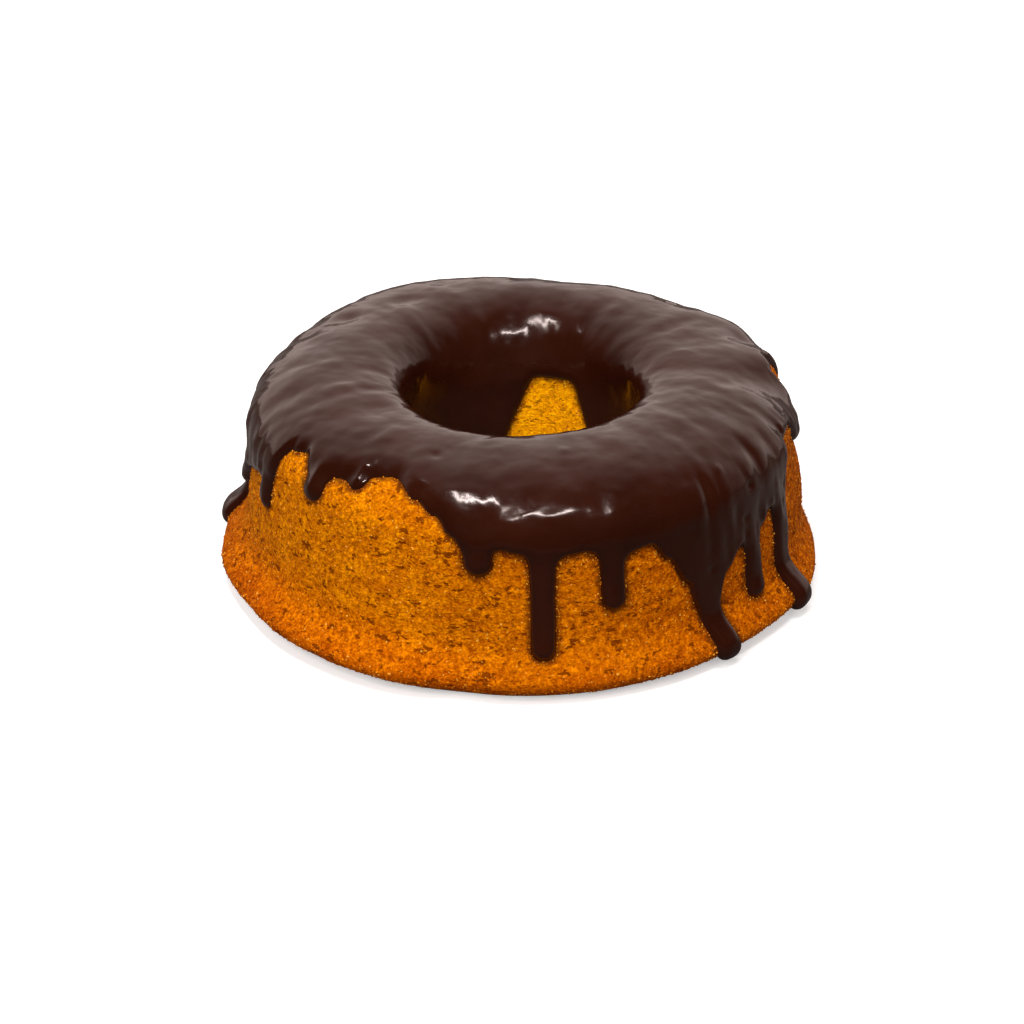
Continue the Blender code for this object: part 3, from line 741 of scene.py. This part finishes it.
sponge.data.vertices.foreach_get("normal", normal)
normal = normal.reshape(-1, 3)
shift = grain_shift * (2 * drawn[:, 5:] - 1)
shift -= (shift * normal).sum(axis=1, keepdims=True) * normal
size = np.interp(drawn[:, 1], (0, 1), grain_sizes) * (drawn[:, 0] < density * point_area)
sponge.data.attributes.new("grain size", "FLOAT", "POINT").data.foreach_set("value", size)
for name, vectors in (("grain turn", full_turn * drawn[:, 2:5]), ("grain shift", shift)):
    made = sponge.data.attributes.new(name, "FLOAT_VECTOR", "POINT")
    made.data.foreach_set("vector", vectors.ravel())

bpy.ops.object.select_all(action="DESELECT")
bpy.ops.mesh.primitive_ico_sphere_add(subdivisions=1, radius=1.0, location=(0.0, 0.0, 0.0))
grain = bpy.context.object
bpy.ops.transform.resize(value=grain_squash)
bpy.ops.object.transform_apply(location=False, rotation=False, scale=True)
bpy.ops.mesh.primitive_plane_add(size=0.01, location=(0.0, 0.0, 0.0))
crumbs = bpy.context.object
crumbs.name = "carrot_crumbs_loose"
scatter = bpy.data.node_groups.new("scatter crumbs", "GeometryNodeTree")
scatter.interface.new_socket("Geometry", in_out="INPUT", socket_type="NodeSocketGeometry")
scatter.interface.new_socket("Geometry", in_out="OUTPUT", socket_type="NodeSocketGeometry")
wall = add(scatter, "GeometryNodeObjectInfo", {"Object": sponge}).outputs["Geometry"]
sizes, turns, shifts = (
    add(scatter, "GeometryNodeInputNamedAttribute", {"Name": name}, data_type=kind).outputs["Attribute"]
    for name, kind in (
        ("grain size", "FLOAT"), ("grain turn", "FLOAT_VECTOR"), ("grain shift", "FLOAT_VECTOR")))
shifted = add(scatter, "GeometryNodeSetPosition", {"Geometry": wall, "Offset": shifts}).outputs["Geometry"]
one_grain = add(scatter, "GeometryNodeObjectInfo", {"Object": grain}).outputs["Geometry"]
copies = add(scatter, "GeometryNodeInstanceOnPoints", {
    "Points": shifted, "Selection": sizes, "Instance": one_grain, "Rotation": turns, "Scale": sizes})
solid_copies = add(scatter, "GeometryNodeRealizeInstances", {"Geometry": copies.outputs["Instances"]})
add(scatter, "NodeGroupOutput", {"Geometry": solid_copies.outputs["Geometry"]})
change = crumbs.modifiers.new("scatter", "NODES")
change.node_group = scatter
bpy.ops.object.modifier_apply(modifier="scatter")
bpy.data.objects.remove(grain)
stand_on_table(crumbs)
crumbs.data.shade_smooth()

grainy, tree, shader, where = new_material("carrot crumbs loose")
finish = add(tree, "ShaderNodeGroup", node_tree=crumb)
tree.links.new(where, finish.inputs["Position"])
finish.inputs["Deep"].default_value = loose_deep
pale = between(tree, noise(tree, where, *pale_noise), *pale_span)
colour = blend(tree, times(tree, pale, pale_strength), finish.outputs["Color"], pale_colour)
tree.links.new(colour, shader.inputs["Base Color"])
shader.inputs["Roughness"].default_value = loose_rough
shader.inputs["Specular IOR Level"].default_value = loose_gloss
shader.inputs["Specular Tint"].default_value = loose_gloss_tint
crumbs.data.materials.clear()
crumbs.data.materials.append(grainy)
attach(crumbs, "root")


# The chocolate glaze. Poured warm over the top, it ran down the wall in drips and lined the hole,
# and set 2 to 3 mm thick with round edges. Its skin is spun like the ring, given a back that
# lies inside the sponge, refined along its edges, and lifted by its own thickness.
top_depth, wall_depth, hole_depth = 0.0030, 0.0023, 0.0021
depth_settles = 0.035
edge_roll = 0.0034
bead_depth, bead_reach = 0.0009, 0.0050
dip_slope, dip_depth, back_depth = 3.0, -0.0016, -0.0028
lump_count, lump_from_crest = 170, (-0.012, 0.036)
lump_half_widths, lump_half_lengths, lump_heights = (0.0028, 0.0052), (0.0050, 0.0115), (-0.00060, 0.00055)
lump_share = ((20.0, 60.0, 130.0, 165.0), (0.45, 1.0, 1.0, 0.6))    # degrees from the front, share of height
lump_seed = 5
hollows = (    # azimuth, distance outward from the crest, radius, depth
    (-125.0, 0.012, 0.0045, 0.0014), (-141.0, 0.006, 0.0050, 0.0010), (138.0, 0.020, 0.0036, 0.0014),
    (113.0, 0.022, 0.0048, 0.0015), (-20.0, 0.004, 0.0070, 0.0007), (48.0, 0.010, 0.0060, 0.0007),
    (-58.0, -0.004, 0.0065, 0.0008), (74.0, 0.006, 0.0060, 0.0008),
)
blisters = (    # the same for the small pits where air burst, and for nubs, whose depth is below zero
    (54.0, 0.0387, 0.0013, 0.0013), (62.3, 0.0546, 0.0013, 0.0013), (51.5, 0.0492, 0.0011, 0.0011),
    (40.5, 0.0611, 0.0011, 0.0010), (30.5, 0.0380, 0.0010, 0.0008), (-24.0, 0.0073, 0.0020, 0.0006),
    (12.8, 0.0026, 0.0022, -0.0006), (47.2, 0.0288, 0.0014, -0.0006), (80.2, 0.0341, 0.0014, -0.0006),
    (4.5, 0.0358, 0.0011, -0.0005), (11.8, 0.0393, 0.0010, -0.0004),
)
drag_count, drag_azimuths, drag_distances = 80, ((40.0, 90.0), (-108.0, -64.0)), (0.030, 0.060)
drag_half_widths, drag_half_lengths, drag_heights = (0.0011, 0.0021), (0.0035, 0.0090), (-0.00085, 0.00055)
thin_edge = ((-38.0, 27.0, 1.0),)    # where the edge runs out thin: azimuth, half width, share
thin_edge_reach, thin_bead_loss = 0.0060, 0.9
glaze_columns, glaze_row_step, glaze_samples = 216, 0.00205, 1601
glaze_under = 4.5    # station of the row under the ring that closes the spun loop
kept_past_edge = 0.0020
refined_within, past_lip, short_of_hole_foot, front_limit = 0.0042, 0.1, 0.12, 0.01
slow_flow_size, slow_flow_depth = 0.011, 0.0008
fine_flow_size, fine_flow_depth = 0.0045, 0.00030
flow_middle = 0.5


def glaze_depth(azimuth, station):
    """Thickness of the glaze on the skin. Past its edge it dips into the sponge."""
    outward = from_crest(station)
    cover, to_drop = glaze_cover(azimuth, station)
    draw = np.random.default_rng(lump_seed)
    flow = np.zeros_like(azimuth)
    for _ in range(lump_count):
        middle, distance = draw.uniform(-180.0, 180.0), draw.uniform(*lump_from_crest)
        half_width, half_length = draw.uniform(*lump_half_widths), draw.uniform(*lump_half_lengths)
        rise = draw.uniform(*lump_heights) * np.interp(abs(middle), *lump_share)
        aside = apart(azimuth, middle) * (crest_r + distance)
        flow += rise * np.exp(-((aside / half_width) ** 2) - ((outward - distance) / half_length) ** 2)
    for span in drag_azimuths:
        for _ in range(drag_count):
            middle, distance = draw.uniform(*span), draw.uniform(*drag_distances)
            half_width, half_length = draw.uniform(*drag_half_widths), draw.uniform(*drag_half_lengths)
            aside = apart(azimuth, middle) * wall_mean_r
            near = np.exp(-((aside / half_width) ** 2) - ((outward - distance) / half_length) ** 2)
            flow += draw.uniform(*drag_heights) * near
    for middle, distance, radius, depth in hollows + blisters:
        aside = apart(azimuth, middle) * np.minimum(crest_r + distance, wall_mean_r)
        flow -= depth * np.exp(-((aside ** 2 + (outward - distance) ** 2) / radius ** 2))
    down = np.clip(np.abs(outward) / depth_settles, 0, 1)
    full = top_depth + (np.where(station > at_crest, hole_depth, wall_depth) - top_depth) * down
    thin = lobes(azimuth, thin_edge) * (station < at_crest)
    bead = bead_depth * np.exp(-((to_drop / bead_reach) ** 2)) * (station < at_crest)
    bead = bead * (1 - thin_bead_loss * thin)
    rolled_over = np.clip(cover / (edge_roll + thin_edge_reach * thin), 0, 1)
    roll = np.sqrt(1 - (1 - rolled_over) ** 2) ** (1 + thin)
    return np.where(cover > 0, (full + bead + flow) * roll, np.maximum(dip_slope * cover, dip_depth))


skin_length = float(from_crest(at_wall) - from_crest(at_hole_foot))
even = np.linspace(from_crest(at_wall), from_crest(at_hole_foot), int(skin_length / glaze_row_step))
fine = np.linspace(at_wall, at_hole_foot, glaze_samples)
glaze_stations = np.interp(-even, -from_crest(fine), fine)
glaze = spun_ring("chocolate_glaze_poured", np.append(glaze_stations, glaze_under), glaze_columns)
azimuth, station = places(glaze)
put(glaze, skin(azimuth, station))
cover, _unused = glaze_cover(azimuth, station)
pick_faces(glaze, face_span(glaze, cover)[1] < -kept_past_edge)
bpy.ops.mesh.delete(type="FACE")
bpy.ops.mesh.select_all(action="SELECT")
bpy.ops.mesh.extrude_region()
bpy.ops.object.mode_set(mode="OBJECT")
is_back = np.empty(len(glaze.data.vertices), dtype=bool)
glaze.data.vertices.foreach_get("select", is_back)
glaze.data.attributes.new("back", "FLOAT", "POINT").data.foreach_set("value", is_back.astype(float))


def back_of(piece):
    """Which vertices belong to the glaze's back, that lies inside the sponge."""
    values = np.empty(len(piece.data.vertices))
    piece.data.attributes["back"].data.foreach_get("value", values)
    return values


for first_round in (True, False):
    azimuth, station = places(glaze)
    cover, _unused = glaze_cover(azimuth, station)
    in_front = face_span(glaze, back_of(glaze))[1] < front_limit
    near_edge = face_span(glaze, np.abs(cover))[0] < refined_within
    last_station = face_span(glaze, station)[1]
    if first_round:
        wanted = near_edge | (last_station < at_lip + past_lip)
    else:
        wanted = near_edge & (last_station < at_hole_foot - short_of_hole_foot)
    subdivide(glaze, in_front & wanted)
azimuth, station = places(glaze)
back = back_of(glaze)
lift = glaze_depth(azimuth, station) * (1 - back) + back_depth * back
points = skin(azimuth, station) + lift[:, None] * skin_normals(azimuth, station)
put(glaze, points)
bpy.context.view_layer.objects.active = glaze
bpy.ops.object.mode_set(mode="EDIT")
bpy.ops.mesh.select_all(action="SELECT")
bpy.ops.mesh.normals_make_consistent(inside=False)
bpy.ops.object.mode_set(mode="OBJECT")
cover, _unused = glaze_cover(azimuth, station)
thick = np.clip(cover / edge_roll, 0, 1) * (1 - back)
paint(glaze, "set glaze", thick)
displace(glaze, cloud("slow flow", slow_flow_size, 1), slow_flow_depth, flow_middle, "set glaze")
displace(glaze, cloud("fine flow", fine_flow_size, 1), fine_flow_depth, flow_middle, "set glaze")
stand_on_table(glaze)
glaze.data.shade_smooth()

# Dark chocolate with a satin skin. Low in the hole it set duller
tone_noise, film_noise, fine_film_noise = (35.0, 2.0), (160.0, 2.0), (900.0, 2.0)    # scale, detail
chocolate_tones = ((0.30, (0.019, 0.0034, 0.0011)), (0.70, (0.028, 0.0052, 0.0018)))
haze_scale, haze_span, satin_span = 90.0, (0.3, 0.7), (0.11, 0.20)
dull_radii, dull_heights, dull_rougher = (0.056, 0.050), (0.061, 0.048), 0.42
glaze_gloss, glaze_gloss_tint = 0.38, (1.0, 0.84, 0.80, 1.0)
fine_film_share, film_strength, film_depth = 0.06, 0.20, 0.0006

chocolate, tree, shader, where = new_material("chocolate glaze set")
colour = ramp(tree, noise(tree, where, *tone_noise), chocolate_tones)
tree.links.new(colour, shader.inputs["Base Color"])
satin = add(tree, "ShaderNodeMapRange", {
    "Value": noise(tree, where, haze_scale), "From Min": haze_span[0], "From Max": haze_span[1],
    "To Min": satin_span[0], "To Max": satin_span[1]}).outputs["Result"]
height_up = add(tree, "ShaderNodeSeparateXYZ", {"Vector": where}).outputs["Z"]
low_in_hole = times(
    tree, between(tree, from_axis(tree, where), *dull_radii), between(tree, height_up, *dull_heights))
rough = math_node(tree, "ADD", satin, times(tree, low_in_hole, dull_rougher))
tree.links.new(rough, shader.inputs["Roughness"])
shader.inputs["Specular IOR Level"].default_value = glaze_gloss
shader.inputs["Specular Tint"].default_value = glaze_gloss_tint
fine_film = times(tree, noise(tree, where, *fine_film_noise), fine_film_share)
film = math_node(tree, "ADD", noise(tree, where, *film_noise), fine_film)
bump = add(tree, "ShaderNodeBump", {"Strength": film_strength, "Distance": film_depth, "Height": film})
tree.links.new(bump.outputs["Normal"], shader.inputs["Normal"])
glaze.data.materials.append(chocolate)
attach(glaze, "root")
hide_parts("chocolate_glaze")
